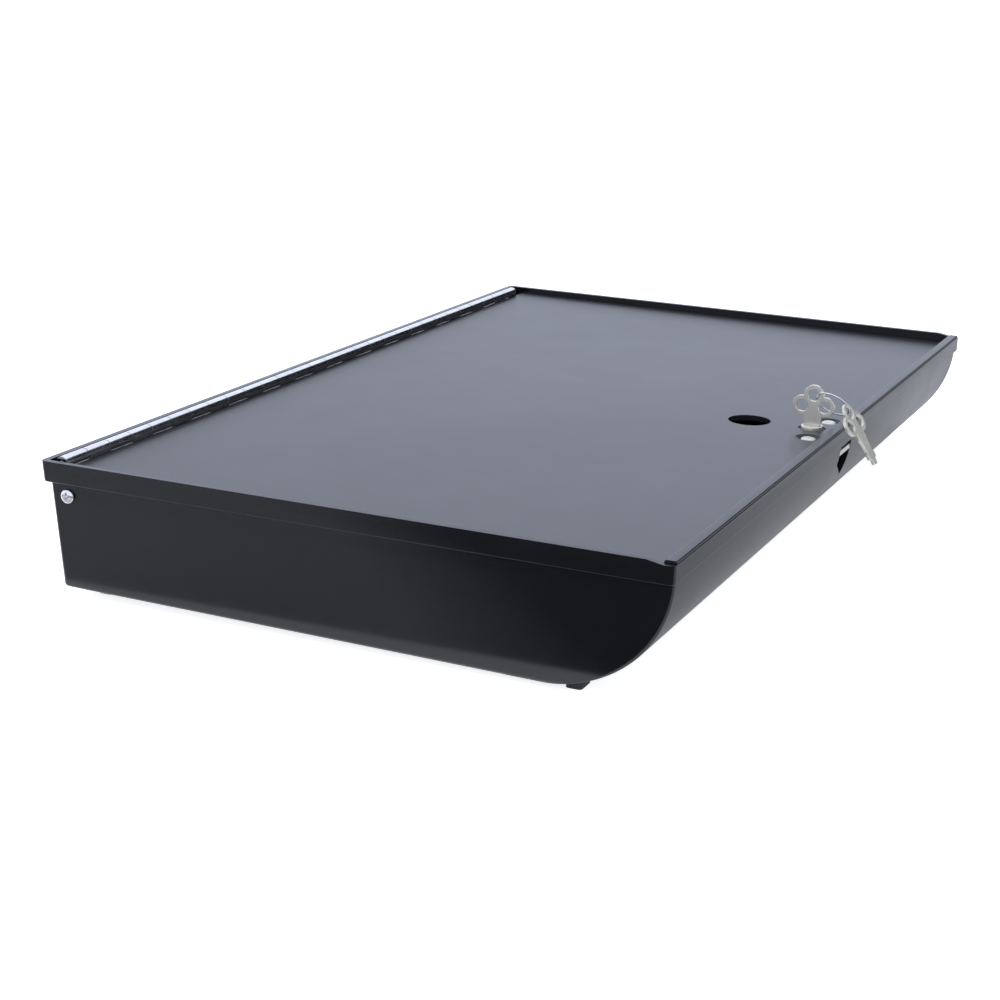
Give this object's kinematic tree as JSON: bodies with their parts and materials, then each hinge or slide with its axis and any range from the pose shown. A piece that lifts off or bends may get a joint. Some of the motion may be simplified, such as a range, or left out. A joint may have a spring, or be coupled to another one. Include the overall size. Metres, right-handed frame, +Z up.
{
  "type": "cash drawer with hinged locking lid",
  "caption": "Shallow black cash box with a recessed rear-hinged lid, finger hole, key lock with cam, coin and banknote bays inside.",
  "frame": {"origin": "centre of the footprint, on the plane the feet stand on", "axes": "+X along the long side, +Y from the lock towards the hinge, +Z up"},
  "size_m": [0.46, 0.2838, 0.075],
  "materials": {
    "black_abs": "semi-gloss moulded",
    "black_divider_plastic": "satin moulded",
    "bright_plated_steel": "bright nickel plate",
    "zinc_plated_steel": "dull zinc plate",
    "nickel_plated_brass": "nickel plate over brass, tumbled",
    "dark_lock_metal": "dark satin",
    "black_rubber": "matt"
  },
  "bodies": {
    "tray": {"base_tray": "black_abs", "cross_wall": "black_divider_plastic", "coin_divider_1": "black_divider_plastic", "coin_divider_2": "black_divider_plastic", "coin_divider_3": "black_divider_plastic", "coin_divider_4": "black_divider_plastic", "coin_divider_5": "black_divider_plastic", "coin_divider_6": "black_divider_plastic", "coin_divider_7": "black_divider_plastic", "note_divider_1": "black_divider_plastic", "note_divider_2": "black_divider_plastic", "note_divider_3": "black_divider_plastic", "note_divider_4": "black_divider_plastic", "foot_front_left": "black_rubber", "foot_front_right": "black_rubber", "foot_rear_left": "black_rubber", "foot_rear_right": "black_rubber", "hinge_rail": "zinc_plated_steel", "strike_screw_left": "zinc_plated_steel", "strike_screw_right": "zinc_plated_steel", "rail_rivet_1": "zinc_plated_steel", "rail_rivet_2": "zinc_plated_steel", "rail_rivet_3": "zinc_plated_steel", "rail_rivet_4": "zinc_plated_steel", "rail_rivet_5": "zinc_plated_steel", "rail_rivet_6": "zinc_plated_steel", "rail_screw_left": "bright_plated_steel", "rail_screw_right": "bright_plated_steel", "hinge_leaf_fixed": "bright_plated_steel", "hinge_pin": "bright_plated_steel", "strike_plate": "nickel_plated_brass"},
    "lid": {"lid_panel": "black_abs", "hinge_leaf_moving": "bright_plated_steel", "lid_rivet_1": "zinc_plated_steel", "lid_rivet_2": "zinc_plated_steel", "lid_rivet_3": "zinc_plated_steel", "lid_rivet_4": "zinc_plated_steel", "lid_rivet_5": "zinc_plated_steel", "lid_rivet_6": "zinc_plated_steel", "lock_body": "dark_lock_metal", "lock_nut": "zinc_plated_steel", "lock_plate": "zinc_plated_steel", "lock_rivet_left": "nickel_plated_brass", "lock_rivet_right": "nickel_plated_brass"},
    "lock": {"lock_plug": "nickel_plated_brass", "lock_cam": "zinc_plated_steel", "cam_screw": "zinc_plated_steel"},
    "turning_key": {"key": "nickel_plated_brass"},
    "ring": {"key_ring": "bright_plated_steel"},
    "hanging_key": {"spare_key": "nickel_plated_brass"}
  },
  "joints": [
    {"name": "lid_hinge", "type": "hinge", "parent": "tray", "child": "lid", "pos_m": [0, 0.13436, 0.058], "axis": [-1, 0, 0], "range_deg": [0, 110]},
    {"name": "lock_turn", "type": "hinge", "parent": "lid", "child": "lock", "pos_m": [0, -0.11124, 0.0549], "axis": [0, 0, -1], "range_deg": [0, 90]},
    {"name": "key_slide", "type": "slide", "parent": "lock", "child": "turning_key", "axis": [0, 0, 1], "range_m": [0, 0.014]},
    {"name": "ring_swing", "type": "hinge", "parent": "turning_key", "child": "ring", "pos_m": [0, -0.11124, 0.0704], "axis": [-1, 0, 0], "range_deg": [0, 62]},
    {"name": "spare_key_swing", "type": "hinge", "parent": "ring", "child": "hanging_key", "pos_m": [0.00167, -0.12728, 0.06336], "axis": [-1, 0, 0], "range_deg": [0, 45]}
  ],
  "couplings": [
    {"joint": "ring_swing", "follows": "lock_turn", "ratio": 0.6667}
  ]
}
